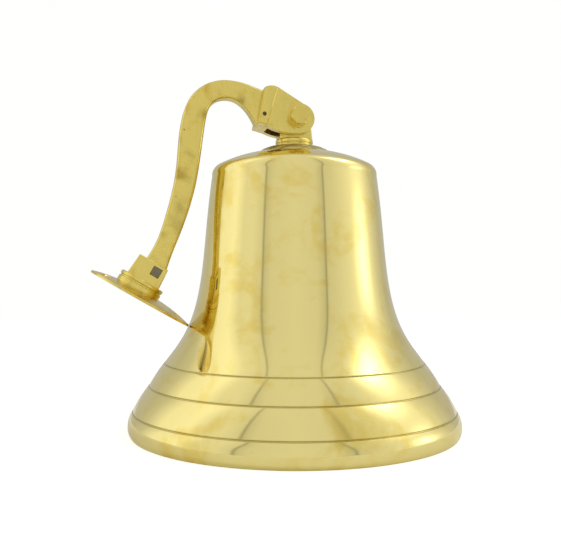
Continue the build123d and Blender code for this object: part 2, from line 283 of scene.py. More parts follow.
def rounded_bar(half_width: np.ndarray, half_depth: float, corner: float, steps: int) -> np.ndarray:
    """Rounded rectangles, one per half width.

    Each corner is a quarter circle of the corner radius about a point that far inside both sides.

    Args:
        half_width: half the size across, for each section.
        half_depth: half the other size.
        corner: the corner radius.
        steps: steps round each corner.

    Returns:
        An (n, 4 * (steps + 1), 2) array of section points.
    """
    quarter = np.linspace(0, math.pi / 2, steps + 1)
    phi = np.concatenate([quarter + k * math.pi / 2 for k in range(4)])
    sx = np.repeat([1, -1, -1, 1], steps + 1)
    sy = np.repeat([1, 1, -1, -1], steps + 1)
    x = sx * (half_width[:, None] - corner) + corner * np.cos(phi)
    y = sy * (half_depth - corner) + corner * np.sin(phi)
    return np.stack([x, np.broadcast_to(y, x.shape)], axis=-1)


def ring_of(radius: float, bar: float, centre: Vector, steps: int = 64, round_steps: int = 20) -> Surface:
    """A torus standing in the XZ plane: a round bar carried round a circle about Y.

    Args:
        radius: the circle's radius in metres.
        bar: the bar's radius in metres.
        centre: the torus's centre.
        steps, round_steps: steps along the circle and round the bar.

    Returns:
        The surface.
    """
    out = np.insert(circle(steps), 1, 0, axis=1)
    along = np.tile([0.0, 1.0, 0.0], (steps, 1))
    return carried(np.array(centre) + radius * out, out, along, bar * circle(round_steps), closed=True)


def value_noise(points: np.ndarray, cell: float, seed: int) -> np.ndarray:
    """Smooth seeded noise from -1 to 1.

    Random numbers at the corners of cubes of the given size are blended with smoothstep weights. A
    corner finds its number in the table by a hash: its three whole coordinates, each times a large
    prime, combined by exclusive or.

    Args:
        points: (..., 3) points in metres.
        cell: the size of a cube.
        seed: the seed of the random numbers.

    Returns:
        One value per point.
    """
    table = np.random.default_rng(seed).uniform(-1, 1, 4096)
    primes = (73856093, 19349663, 83492791)
    scaled = points / cell
    corner = np.floor(scaled).astype(np.int64)
    t = scaled - corner
    t = t * t * (3 - 2 * t)
    total = np.zeros(points.shape[:-1])
    for step in np.ndindex(2, 2, 2):
        hashed = (corner + step) * primes
        key = hashed[..., 0] ^ hashed[..., 1] ^ hashed[..., 2]
        weight = np.prod(np.abs(1 - np.array(step) - t), axis=-1)
        total += weight * table[key % len(table)]
    return total


# ---- finishes --------------------------------------------------------------------------------------


class Graph:
    """A node tree with short ways to add and join nodes."""

    def __init__(self, tree: bpy.types.NodeTree) -> None:
        """Keeps the tree.

        Args:
            tree: the node tree to add to.
        """
        self.tree = tree

    def add(self, kind: str, **settings: object) -> bpy.types.Node:
        """A new node; settings name its properties, or its inputs where they start with in_.

        Args:
            kind: the node's type name, such as ShaderNodeMix.
            settings: properties, or in_NUMBER for an input's value or the socket that feeds it.

        Returns:
            The node.
        """
        node = self.tree.nodes.new(kind)
        for key, value in settings.items():
            if not key.startswith("in_"):
                setattr(node, key, value)
        for key, value in settings.items():
            if key.startswith("in_"):
                name = key[3:]
                socket = node.inputs[int(name) if name.isdigit() else name.replace("_", " ")]
                if isinstance(value, bpy.types.NodeSocket):
                    self.tree.links.new(value, socket)
                else:
                    socket.default_value = value
        return node

    def ramp(self, value: bpy.types.NodeSocket, low: object, high: object) -> bpy.types.NodeSocket:
        """A value mapped smoothly from low..high to 0..1.

        Args:
            value: the socket to map.
            low, high: the ends of its range, as numbers or sockets.

        Returns:
            The mapped value.
        """
        return self.add(
            "ShaderNodeMapRange", interpolation_type="SMOOTHSTEP", in_0=value, in_1=low, in_2=high
        ).outputs[0]

    def blend(self, factor: bpy.types.NodeSocket, a: object, b: object) -> bpy.types.NodeSocket:
        """Two colours mixed by a factor.

        Args:
            factor: 0 for the first colour, 1 for the second.
            a, b: the colours, as RGBA values or sockets.

        Returns:
            The mixed colour.
        """
        return self.add("ShaderNodeMix", data_type="RGBA", in_0=factor, in_6=a, in_7=b).outputs[2]

    def math(self, operation: str, *values: object) -> bpy.types.NodeSocket:
        """The result of a math node.

        Args:
            operation: the node's operation.
            values: its inputs in order, as numbers or sockets.

        Returns:
            The result.
        """
        settings = {f"in_{k}": v for k, v in enumerate(values)}
        return self.add("ShaderNodeMath", operation=operation, **settings).outputs[0]


def group(
    name: str, inputs: dict[str, float], outputs: tuple[str, ...]
) -> tuple[Graph, bpy.types.Node, bpy.types.Node]:
    """A new shader node group of float inputs and outputs.

    Args:
        name: the group's name.
        inputs: the inputs and their defaults.
        outputs: the outputs' names.

    Returns:
        Its graph, its input node and its output node.
    """
    tree = bpy.data.node_groups.new(name, "ShaderNodeTree")
    for key, value in inputs.items():
        tree.interface.new_socket(key, in_out="INPUT", socket_type="NodeSocketFloat").default_value = value
    for key in outputs:
        tree.interface.new_socket(key, in_out="OUTPUT", socket_type="NodeSocketFloat")
    graph = Graph(tree)
    return graph, graph.add("NodeGroupInput"), graph.add("NodeGroupOutput")


def build_tarnish_group() -> None:
    """Cloudy finger-tarnish: two sizes of noise, thresholded softly into a mask from 0 to 1.

    The mask rises smoothly while 0.75 big + 0.25 fine goes from low to low + 0.2, where low is
    0.78 - cover / 2, so more cover lowers the threshold.
    """
    g, source, sink = group("tarnish", {"Size": 18.0, "Cover": 0.5}, ("Mask",))
    here, size = g.add("ShaderNodeTexCoord").outputs["Object"], source.outputs["Size"]
    big = g.add("ShaderNodeTexNoise", in_Vector=here, in_Scale=size, in_Detail=5.0, in_Distortion=0.8)
    fine_size = g.math("MULTIPLY", size, 4.3)
    fine = g.add("ShaderNodeTexNoise", in_Vector=here, in_Scale=fine_size, in_Detail=3.0)
    both = g.math("ADD", g.math("MULTIPLY", big.outputs[0], 0.75), g.math("MULTIPLY", fine.outputs[0], 0.25))
    low = g.math("SUBTRACT", 0.78, g.math("MULTIPLY", source.outputs["Cover"], 0.5))
    mask = g.ramp(both, low, g.math("ADD", low, 0.2))
    g.tree.links.new(mask, sink.inputs[0])


def build_casting_group() -> None:
    """Cast skin: a height from uneven filing and fine grain, and a mask of scattered blowholes.

    A blowhole is the middle of a Voronoi cell, kept only where a slow noise is high. The height is
    broad + 0.35 grain - 0.9 blowholes.
    """
    g, source, sink = group("casting", {"Grain": 420.0, "Pits": 150.0}, ("Height", "Pit"))
    here = g.add("ShaderNodeTexCoord").outputs["Object"]
    broad = g.add("ShaderNodeTexNoise", in_Vector=here, in_Scale=70.0, in_Detail=2.0)
    grain = g.add("ShaderNodeTexNoise", in_Vector=here, in_Scale=source.outputs["Grain"], in_Detail=6.0)
    cells = g.add(
        "ShaderNodeTexVoronoi", in_Vector=here, in_Scale=source.outputs["Pits"], in_Randomness=1.0
    )
    few = g.ramp(g.add("ShaderNodeTexNoise", in_Vector=here, in_Scale=90.0).outputs[0], 0.56, 0.66)
    dot = g.math("SUBTRACT", 1.0, g.ramp(cells.outputs["Distance"], 0.06, 0.16))
    pit = g.math("MULTIPLY", dot, few)
    height = g.math("ADD", broad.outputs[0], g.math("MULTIPLY", grain.outputs[0], 0.35))
    height = g.math("SUBTRACT", height, g.math("MULTIPLY", pit, 0.9))
    g.tree.links.new(height, sink.inputs[0])
    g.tree.links.new(pit, sink.inputs[1])


def build_turning_group() -> None:
    """Lathe marks: noise that changes quickly with height and hardly at all round the axis.

    The noise is read at (9 x, 9 y, lines * (z - 0.6 r)), r being the distance from the axis, so the
    marks also follow one another across the flat of the crown.
    """
    g, source, sink = group("turning", {"Lines": 900.0}, ("Height",))
    x, y, z = g.add("ShaderNodeSeparateXYZ", in_0=g.add("ShaderNodeTexCoord").outputs["Object"]).outputs
    radius = g.math("SQRT", g.math("ADD", g.math("POWER", x, 2.0), g.math("POWER", y, 2.0)))
    slope = g.math("SUBTRACT", z, g.math("MULTIPLY", radius, 0.6))
    place = g.add(
        "ShaderNodeCombineXYZ", in_0=g.math("MULTIPLY", x, 9.0), in_1=g.math("MULTIPLY", y, 9.0),
        in_2=g.math("MULTIPLY", slope, source.outputs["Lines"]),
    )
    lines = g.add("ShaderNodeTexNoise", in_Vector=place.outputs[0], in_Scale=1.0, in_Detail=3.0)
    g.tree.links.new(lines.outputs[0], sink.inputs[0])


class Texture(Enum):
    """How a metal surface was worked."""

    TURNED = "turning"
    CAST = "casting"


@dataclass(frozen=True)
class MetalFinish:
    """One metal finish.

    Attributes:
        name: the material's name.
        clean, dull: colours of bare and of tarnished metal.
        smooth, rough: roughness of bare and of tarnished metal.
        cover: how much of the surface the tarnish covers, from 0 to 1.
        cloud: the tarnish's cloud size, as noise scale per metre.
        texture: turned or cast.
        detail: the texture's own scale per metre.
        relief: the texture's depth in metres.
    """

    name: str
    clean: tuple[float, float, float]
    dull: tuple[float, float, float]
    smooth: float
    rough: float
    cover: float
    cloud: float
    texture: Texture
    detail: float
    relief: float

    def build(self) -> bpy.types.Material:
        """The finish as a material, darkened where the mesh has its grime mask: grime on some pieces,
        painted shade on others.

        Returns:
            The material.
        """
        material = bpy.data.materials.new(self.name)
        material.use_nodes = True
        g = Graph(material.node_tree)
        shader = material.node_tree.nodes["Principled BSDF"]
        shader.inputs["Metallic"].default_value = 1.0
        groups = bpy.data.node_groups
        mask = g.add(
            "ShaderNodeGroup", node_tree=groups["tarnish"], in_Size=self.cloud, in_Cover=self.cover
        ).outputs[0]
        colour = g.blend(mask, (*self.clean, 1), (*self.dull, 1))
        # Darkens towards the dull colour by the mesh's mask: real grime on the pad and arm, painted shade in
        # the bell's turned lines and the plate's holes.
        grime = g.add("ShaderNodeAttribute", attribute_name="grime").outputs["Fac"]
        colour = g.blend(grime, colour, (*(c * GRIME_AND_SHADE_TONE for c in self.dull), 1))
        if self.texture is Texture.TURNED:
            skin = g.add("ShaderNodeGroup", node_tree=groups["turning"], in_Lines=self.detail)
        else:
            skin = g.add("ShaderNodeGroup", node_tree=groups["casting"], in_Grain=self.detail)
            colour = g.blend(skin.outputs["Pit"], colour, (*(c * PIT_SHADE for c in self.dull), 1))
        roughness = g.add("ShaderNodeMapRange", in_0=mask, in_3=self.smooth, in_4=self.rough).outputs[0]
        roughness = g.math("ADD", roughness, g.math("MULTIPLY", grime, 0.35))
        bump = g.add("ShaderNodeBump", in_Distance=self.relief, in_Height=skin.outputs["Height"])
        g.tree.links.new(colour, shader.inputs["Base Color"])
        g.tree.links.new(roughness, shader.inputs["Roughness"])
        g.tree.links.new(bump.outputs[0], shader.inputs["Normal"])
        return material


POLISHED = MetalFinish(
    name="bell_polish", clean=(0.88, 0.755, 0.30), dull=(0.83, 0.65, 0.18),
    smooth=0.05, rough=0.12, cover=0.62, cloud=30.0,
    texture=Texture.TURNED, detail=700.0, relief=0.000012,
)
BELL_INSIDE = MetalFinish(
    name="bell_inside", clean=(0.58, 0.47, 0.22), dull=(0.38, 0.28, 0.12),
    smooth=0.32, rough=0.5, cover=0.6, cloud=22.0,
    texture=Texture.TURNED, detail=900.0, relief=0.00025,
)
CAST = MetalFinish(
    name="cast_satin", clean=(0.79, 0.635, 0.165), dull=(0.68, 0.475, 0.085),
    smooth=0.2, rough=0.34, cover=0.58, cloud=42.0,
    texture=Texture.CAST, detail=420.0, relief=0.0004,
)
AS_CAST = MetalFinish(
    name="as_cast_skin", clean=(0.70, 0.58, 0.24), dull=(0.44, 0.34, 0.12),
    smooth=0.36, rough=0.55, cover=0.6, cloud=90.0,
    texture=Texture.CAST, detail=500.0, relief=0.0016,
)
TURNED = MetalFinish(
    name="turned_fittings", clean=(0.77, 0.61, 0.15), dull=(0.54, 0.39, 0.08),
    smooth=0.16, rough=0.3, cover=0.5, cloud=60.0,
    texture=Texture.CAST, detail=800.0, relief=0.0002,
)
STEEL = MetalFinish(
    name="dull_steel", clean=(0.22, 0.19, 0.12), dull=(0.10, 0.08, 0.04),
    smooth=0.4, rough=0.6, cover=0.6, cloud=160.0,
    texture=Texture.CAST, detail=900.0, relief=0.0003,
)


def dress(piece: bpy.types.Object, *finishes: MetalFinish) -> None:
    """Gives the piece these finishes, one material slot each, made when first needed.

    Args:
        piece: the object.
        finishes: the finishes, in the order of the material slots.
    """
    piece.data.materials.clear()
    for finish in finishes:
        piece.data.materials.append(bpy.data.materials.get(finish.name) or finish.build())


def settle(piece: bpy.types.Object, body: str, slot: str, *nodes: str) -> None:
    """Rides the piece on its body, in place of its CAD nodes.

    Args:
        piece: the finished object.
        body: the body that it moves with.
        slot: the record's material slot for it; not used.
        nodes: the CAD nodes that it stands for.
    """
    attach(piece, body)
    if nodes:
        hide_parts(*nodes)
    LOG.info("%s: %d faces, on %s", piece.name, len(piece.data.polygons), body)


def refined(node: str, name: str, edge: float, sharp: float = 28.0) -> bpy.types.Object:
    """A finished copy of a CAD piece: points merged, flats made whole, edges rounded.

    Args:
        node: the CAD node to copy.
        name: the new piece's name.
        edge: the radius of the rounded edges in metres, or 0 for none.
        sharp: the angle in degrees past which an edge counts as one.

    Returns:
        The new object.
    """
    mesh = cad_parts[node].data.copy()
    mesh.name = name
    bm = bmesh.new()
    bm.from_mesh(mesh)
    bmesh.ops.remove_doubles(bm, verts=bm.verts, dist=MERGE_DISTANCE)
    bmesh.ops.dissolve_limit(bm, angle_limit=math.radians(FLAT_ANGLE), verts=bm.verts, edges=bm.edges)
    bm.to_mesh(mesh)
    bm.free()
    shape_up(mesh, sharp, merge=False, recalculate=False)
    piece = bpy.data.objects.new(name, mesh)
    bpy.context.scene.collection.objects.link(piece)
    if edge:
        bevel = piece.modifiers.new("rounded_edges", "BEVEL")
        bevel.width, bevel.segments, bevel.limit_method = edge, 2, "ANGLE"
        bevel.angle_limit, bevel.harden_normals = math.radians(sharp), True
    return piece


def paint_recess_shade(piece: bpy.types.Object, spots: list[tuple[Vector, Vector, float]], depth: float) -> None:
    """Gives a mesh its mask of painted shade: dark inside round recesses, clear elsewhere.

    A point counts as inside when it is nearer than the recess's radius to the recess's axis.

    Args:
        piece: the object.
        spots: for each recess, a point on its axis, the axis' direction and its radius in metres.
        depth: how dark the recess is, from 0 to 1.
    """
    mesh = piece.data
    points = np.empty(len(mesh.vertices) * 3, np.float32)
    mesh.vertices.foreach_get("co", points)
    points = points.reshape(-1, 3)
    grime = np.zeros(len(points), np.float32)
    for centre, axis, radius in spots:
        away = np.cross(points - np.array(centre), np.array(axis.normalized()))
        grime = np.maximum(grime, np.where(np.linalg.norm(away, axis=1) < radius, depth, 0))
    store_mask(mesh, "grime", grime)


# ---- the bell --------------------------------------------------------------------------------------


@dataclass
class Bell:
    """The shell, its crown and the hanger that carries it. Lengths are millimetres."""

    lip_inner: float = 119.5
    lip_flat: float = 125.8
    grooves: tuple = ((123.8, 17.0), (111.6, 36.0), (100.2, 52.7))
    groove_half: float = 0.75
    groove_depth: float = 0.75
    groove_reach: float = 1.3  # how far the finer steps go, in half widths of the groove
    crown_top: float = 213.3
    crown_under: float = 207.8
    hole: float = 7.4
    segments: int = 320

    def outside(self) -> np.ndarray:
        """The outer profile from the lip up to the crown's hole.

        Returns:
            (radius, height) rows.
        """
        low, mid, high = self.grooves
        lip = smooth_curve([(self.lip_flat, 0.0), (127.0, 2.5), (127.4, 8.0), (126.2, 13.0), low], 8)
        bands = arc_through(low, (118.7, 26.5), mid, 18), arc_through(mid, (106.4, 44.5), high, 18)
        waist = smooth_curve(
            [high, (88.9, 68), (80.2, 85), (73.6, 110), (68.9, 150), (65.3, 185), (63.9, 195.5)], 16
        )
        shoulder = arc_through((63.9, 195.5), (63.0, 200.2), (60.0, 203.3), 10)
        dome = arc_through((60.0, 203.3), (45.5, 209.4), (29.5, self.crown_top), 14)
        flat = np.array([[29.5, self.crown_top], [self.hole, self.crown_top]])
        return self.with_grooves(join(lip, *bands, waist, shoulder, dome, flat))

    def with_grooves(self, profile: np.ndarray) -> np.ndarray:
        """Cuts the turned lines: the profile is resampled near each and pushed in by a cosine notch.

        At distance d along the profile from a line of half width h the push is
        depth * (1 + cos(pi d / h)) / 2, square to the profile, and nothing beyond h.

        Args:
            profile: (radius, height) rows.

        Returns:
            The profile with its notches.
        """
        steps = np.r_[0, np.cumsum(np.linalg.norm(np.diff(profile, axis=0), axis=1))]
        cuts = [steps[np.argmin(np.linalg.norm(profile - g, axis=1))] for g in self.grooves]
        reach = self.groove_reach * self.groove_half
        near = [c + self.groove_half * np.linspace(-self.groove_reach, self.groove_reach, 15) for c in cuts]
        at = np.unique(np.concatenate([steps, *near]).round(4))
        keep = np.ones(len(at), bool)
        for c, n in zip(cuts, near):
            keep &= ~((np.abs(at - c) < reach) & ~np.isin(at, n.round(4)))
        at = at[keep]
        line = np.c_[np.interp(at, steps, profile[:, 0]), np.interp(at, steps, profile[:, 1])]
        along = np.gradient(line, axis=0)
        inward = np.c_[-along[:, 1], along[:, 0]] / np.linalg.norm(along, axis=1)[:, None]
        away = [(at - c) / self.groove_half for c in cuts]
        depth = sum(np.where(np.abs(d) < 1, 0.5 + 0.5 * np.cos(math.pi * d), 0) for d in away)
        return line + self.groove_depth * depth[:, None] * inward

    def inside(self) -> np.ndarray:
        """The inner profile from the crown's hole down to the lip.

        Returns:
            (radius, height) rows.
        """
        top, under = self.crown_top, self.crown_under
        roof = np.array([[self.hole, top], [self.hole, under], [25.0, under]])
        wall = smooth_curve(
            [(25.0, under), (34, 207.1), (44, 204.6), (55, 198.5), (60, 186), (63.3, 160), (67, 122),
             (73.3, 90), (86, 62), (102, 38.5), (114.2, 18), (self.lip_inner - 0.4, 4),
             (self.lip_inner, 0)], 9
        )
        return join(roof, wall)

    def build_shell(self) -> bpy.types.Object:
        """The shell in one closed skin, polished outside and as turned inside.

        Painted shade darkens the turned lines by 0.85 exp(-(d / 0.6)^2) at d millimetres.

        Returns:
            The shell.
        """
        outer, inner = self.outside(), self.inside()
        profile = join(outer, inner)
        gap = [np.linalg.norm(profile - g, axis=1) for g in self.grooves]
        # Painted shade along the turned lines, strongest at their middles.
        grime = 0.85 * np.exp(-((np.min(gap, axis=0) / 0.6) ** 2))
        surface = lathe(profile * MM, self.segments, closed=True, masks={"grime": grime})
        shell = make_mesh("bell_shell_turned", [surface], sharp=50)
        dress(shell, POLISHED, BELL_INSIDE)
        rows = np.arange(len(profile)).repeat(self.segments)
        shell.data.polygons.foreach_set("material_index", (rows >= len(outer) - 1).astype(np.int32))
        return shell

    def build_pad(self) -> bpy.types.Object:
        """The crown pad, a low cone with the lumpy skin of a rough casting.

        Two sizes of noise lift the cone's face by up to 0.32 millimetres, and leave the seat of the
        hanger's foot flat.

        Returns:
            The pad.
        """
        low, seat, rim, neck = self.crown_top + 0.02, 218.9, 28.6, 17.5
        edge = smooth_curve([(rim, low), (28.75, low + 0.48), (28.4, low + 0.98)], 3)
        slope = arc_through((28.4, low + 0.98), (23.4, 217.2), (neck, 218.7), 26)
        profile = join(
            np.array([[self.hole, low], [rim, low]]), edge, slope,
            np.array([[neck, 218.7], [14.0, seat], [self.hole, seat]]),
        )
        surface = lathe(profile * MM, 200, closed=True)
        p = surface.points
        lump = value_noise(p, 0.0032, 3) * 0.00022 + value_noise(p, 0.0013, 5) * 0.00010
        free = (p[..., 2] > (self.crown_top + 0.3) * MM) & (np.hypot(p[..., 0], p[..., 1]) > 0.0145)
        p[..., 2] += np.where(free, lump, 0)
        patches = np.clip(value_noise(p, 0.004, 11) * 0.5 + 0.15, 0, 0.6)
        surface.masks["grime"] = np.where(free, patches, 0.2)
        pad = make_mesh("crown_pad_cast", [surface], sharp=60)
        dress(pad, AS_CAST)
        return pad

    def build(self) -> None:
        """Makes the bell's pieces and rides them on the bell."""
        settle(self.build_shell(), "bell", "polished_brass", "bell_shell")
        settle(self.build_pad(), "bell", "rough_brass", "crown_pad")
        for node, edge, finish, slot in (
            ("hanger", 0.0005, CAST, "cast_brass"),
            ("inner_washer", 0.0003, TURNED, "fastener_brass"),
            ("clamp_nut", 0.0003, TURNED, "fastener_brass"),
            ("lock_nut", 0.0003, TURNED, "fastener_brass"),
            ("clapper_staple", 0.0, TURNED, "fastener_brass"),
            ("staple_nut", 0.0003, TURNED, "fastener_brass"),
        ):
            piece = refined(node, f"{node}_finished", edge)
            dress(piece, finish)
            settle(piece, "bell", slot, node)


# ---- the clapper -----------------------------------------------------------------------------------


@dataclass
class Clapper:
    """The shackle and the clapper that hangs in it. Lengths are millimetres."""

    staple_z: float = 170.0
    bow_z: float = 150.0
    bow: float = 8.0
    ear_bottom: float = 164.5
    ear_inside: float = 5.3
    ear_outside: float = 10.7
    ear_radius: float = 7.0
    pin: float = 4.0
    wire: float = 2.6
    eye: float = 8.0
    play: float = 0.05
    swing_z: float = 147.5
    rod: float = 3.6
    rod_end: float = 20.4
    ball: float = 17.5
    ball_z: float = 38.0

    def build_shackle(self) -> bpy.types.Object:
        """The shackle: a round bar down one leg, round the bow and up the other, and its two eyes.

        Returns:
            The shackle.
        """
        legs = np.array([[-self.bow, z] for z in np.linspace(self.ear_bottom, self.bow_z, 6)])
        bend = arc_through((-self.bow, self.bow_z), (0, self.bow_z - self.bow), (self.bow, self.bow_z), 40)
        line = join(legs, bend, legs[::-1] * [-1, 1])
        path = np.c_[0 * line[:, 0], line] * MM
        along = np.gradient(path, axis=0)
        along /= np.linalg.norm(along, axis=1)[:, None]
        side = np.tile([1.0, 0.0, 0.0], (len(path), 1))
        bar = carried(path, side, np.cross(along, side), self.wire * MM * circle(24), closed=False)
        ears = [self.ear(sign) for sign in (-1, 1)]
        return make_mesh("clapper_shackle_forged", [bar, *ears], sharp=50)

    def ear(self, sign: int) -> Surface:
        """One of the shackle's eyes: a washer-like ring about Y with rounded edges, bored for the pin.

        Args:
            sign: 1 for the eye towards +Y, -1 for the other.

        Returns:
            The ring, carried round the pin's axis.
        """
        low, high, soft, bore = self.ear_inside, self.ear_outside, 0.7, self.pin + self.play
        section = np.array([
            [bore, low], [self.ear_radius - soft, low], [self.ear_radius, low + soft],
            [self.ear_radius, high - soft], [self.ear_radius - soft, high], [bore, high],
        ])
        out = np.insert(circle(72), 1, 0, axis=1)
        along = np.tile([0.0, float(sign), 0.0], (len(out), 1))
        centre = np.array([0, 0, self.staple_z * MM]) + 0 * out
        return carried(centre, out, along, section * MM, closed=True)

    def build_rod(self) -> bpy.types.Object:
        """The clapper's rod: a forged eye, a swelling neck and a straight round shank.

        Returns:
            The rod.
        """
        eye_z = self.swing_z - self.eye
        eye = ring_of(self.eye * MM, self.wire * MM, Vector((0, 0, eye_z * MM)))
        top = eye_z - self.eye - 0.6
        neck_end = (self.rod, top - 13.0)
        neck = smooth_curve(
            [(0.0, top + 1.4), (3.4, top + 1.0), (4.7, top - 0.6), (4.6, top - 3.0), (3.8, top - 8.0),
             neck_end], 6
        )
        line = join(neck, np.array([neck_end, (self.rod, self.rod_end), (0.0, self.rod_end)]))
        shank = lathe(line * MM, 40, closed=False)
        return make_mesh("clapper_rod_forged", [eye, shank], merge=True)

    def build_ball(self) -> bpy.types.Object:
        """The ball: a sphere with a slightly uneven cast surface, bored for the rod.

        The surface is drawn in by 0.4 percent of the radius, give or take noise of as much again.

        Returns:
            The ball.
        """
        hole = self.rod + self.play
        reach = math.acos(hole / self.ball)
        a = np.linspace(-reach, reach, 72)
        sphere = np.c_[self.ball * np.cos(a), self.ball_z + self.ball * np.sin(a)]
        bore = np.array([[hole, sphere[-1, 1]], [hole, sphere[0, 1]]])
        surface = lathe(join(sphere, bore)[:-1] * MM, 128, closed=True)
        out = surface.points - [0, 0, self.ball_z * MM]
        surface.points -= out * (0.004 + 0.004 * value_noise(surface.points, 0.007, 21))[..., None]
        return make_mesh("clapper_ball_cast", [surface], sharp=50)

    def build(self) -> None:
        """Makes the clapper's pieces and rides them on the link and the clapper."""
        shackle, rod, ball = self.build_shackle(), self.build_rod(), self.build_ball()
        dress(shackle, TURNED)
        dress(rod, TURNED)
        dress(ball, CAST)
        settle(shackle, "clapper_link", "fastener_brass", "clapper_shackle")
        settle(rod, "clapper", "fastener_brass", "clapper_rod")
        settle(ball, "clapper", "polished_brass", "clapper_ball")
        for node, body, edge, finish, slot in (
            ("shackle_pin", "clapper_link", 0.0003, TURNED, "fastener_brass"),
            ("split_pin", "clapper_link", 0.0, STEEL, "dark_steel"),
            ("ball_pin", "clapper", 0.0, TURNED, "fastener_brass"),
            ("lanyard_eye", "clapper", 0.0, TURNED, "fastener_brass"),
        ):
            piece = refined(node, f"{node}_finished", edge)
            dress(piece, finish)
            settle(piece, body, slot, node)


# ---- the bracket -----------------------------------------------------------------------------------


@dataclass
class Bracket:
    """The gooseneck arm with its fork head, foot and wall plate. Lengths are millimetres."""

    half_depth: float = 6.0
    corner: float = 2.6
    outer: tuple = (
        (-108.4, 140.5), (-100.4, 161.7), (-92.1, 197.1), (-87.9, 235.5), (-79.7, 255.4),
        (-62.6, 266.5), (-46.0, 267.3), (-34.6, 264.6),
    )
    inner: tuple = (
        (-93.6, 137.5), (-86.1, 156.8), (-75.6, 194.5), (-69.8, 234.5), (-63.6, 249.9),
        (-56.0, 253.2), (-47.5, 252.3), (-39.0, 246.0),
    )
    foot_left: tuple = (-113.6, 131.95)
    foot_right: tuple = (-98.6, 123.2)
    collar_low: tuple = (-31.3, 233.8)
    collar_high: tuple = (-25.9, 261.5)
    tilt: float = 30.2
    plate: tuple = (-118.5, 100.9)
    screw_circle: float = 34.0
    screw_angles: tuple = (-150, -30, 90)
    sink: float = 3.4

    def build_arm(self) -> bpy.types.Object:
        """The gooseneck: a rounded bar whose two edges follow splines, with small hand-filed waves.

        The section's centre is midway between the edge curves and its half width is half their
        distance; the depth is constant, and noise of a tenth of a millimetre dulls the evenness.

        Returns:
            The arm.
        """
        steps, corner_steps = 14, 7
        outer = smooth_curve([self.foot_left, *self.outer, self.collar_high], steps)
        inner = smooth_curve([self.foot_right, *self.inner, self.collar_low], steps)
        centre, across = (outer + inner) / 2, (outer - inner) / 2
        half = np.linalg.norm(across, axis=1)
        path = np.c_[centre[:, 0], 0 * half, centre[:, 1]] * MM
        side = np.c_[across[:, 0], 0 * half, across[:, 1]] / half[:, None]
        up = np.tile([0.0, 1.0, 0.0], (len(path), 1))
        section = rounded_bar(half, self.half_depth, self.corner, corner_steps)
        ends = (corner_steps + 1) * np.arange(1, 5) - 1
        middles = (section[:, ends] + section[:, (ends + 1) % section.shape[1]]) / 2
        section = np.insert(section, ends + 1, middles, axis=1)
        surface = carried(path, side, up, section * MM, closed=False)
        inwards = path[:, None] - surface.points
        inwards /= np.linalg.norm(inwards, axis=-1)[..., None]
        filed, grain = value_noise(surface.points, 0.011, 7), value_noise(surface.points, 0.004, 8)
        wave = 0.00012 * (1 + filed) + 0.00005 * (1 + grain)
        surface.points += inwards * wave[..., None]
        flat = np.abs(np.abs(section[..., 1]) - self.half_depth) < 1.2
        patches = np.clip(value_noise(surface.points, 0.006, 17) * 0.5 - 0.12, 0, 0.35)
        surface.masks["grime"] = patches * flat
        return make_mesh("bracket_arm_cast", [surface], sharp=60)

    def build_plate(self) -> bpy.types.Object:
        """The wall plate, with painted shade in its three countersunk holes.

        Returns:
            The plate.
        """
        plate = refined("wall_plate", "wall_plate_finished", 0.0004)
        tilt = math.radians(self.tilt)
        down = Vector((math.cos(tilt), 0, -math.sin(tilt)))
        out = Vector((math.sin(tilt), 0, math.cos(tilt)))
        centre = Vector((self.plate[0], 0, self.plate[1])) * MM
        spots = []
        for angle in map(math.radians, self.screw_angles):
            along = down * math.cos(angle) + Vector((0, math.sin(angle), 0))
            spots.append((centre + along * self.screw_circle * MM, out, self.sink * MM))
        # Painted shade in the three countersunk holes.
        paint_recess_shade(plate, spots, 0.9)
        return plate

    def build(self) -> None:
        """Makes the bracket's pieces and rides them on the bracket."""
        arm, plate = self.build_arm(), self.build_plate()
        dress(arm, CAST)
        dress(plate, CAST)
        settle(arm, "bracket", "cast_brass", "bracket_arm")
        settle(plate, "bracket", "cast_brass", "wall_plate")
        for node, edge, finish, slot in (
            ("fork_head", 0.0006, CAST, "cast_brass"),
            ("foot_socket", 0.0006, CAST, "cast_brass"),
            ("foot_screw", 0.0003, TURNED, "fastener_brass"),
            # The fork pin is steel, and its dark finish also paints the shade of the pit in the collar.
            ("fork_pin", 0.0002, STEEL, "fastener_brass"),
            ("foot_key", 0.0004, STEEL, "dark_steel"),
            ("pivot_bolt", 0.0003, TURNED, "fastener_brass"),
            ("pivot_nut", 0.0003, TURNED, "fastener_brass"),
            ("head_washer", 0.0003, TURNED, "fastener_brass"),
            ("nut_washer", 0.0003, TURNED, "fastener_brass"),
        ):
            piece = refined(node, f"{node}_finished", edge)
            dress(piece, finish)
            settle(piece, "bracket", slot, node)


# ---- the studio ------------------------------------------------------------------------------------


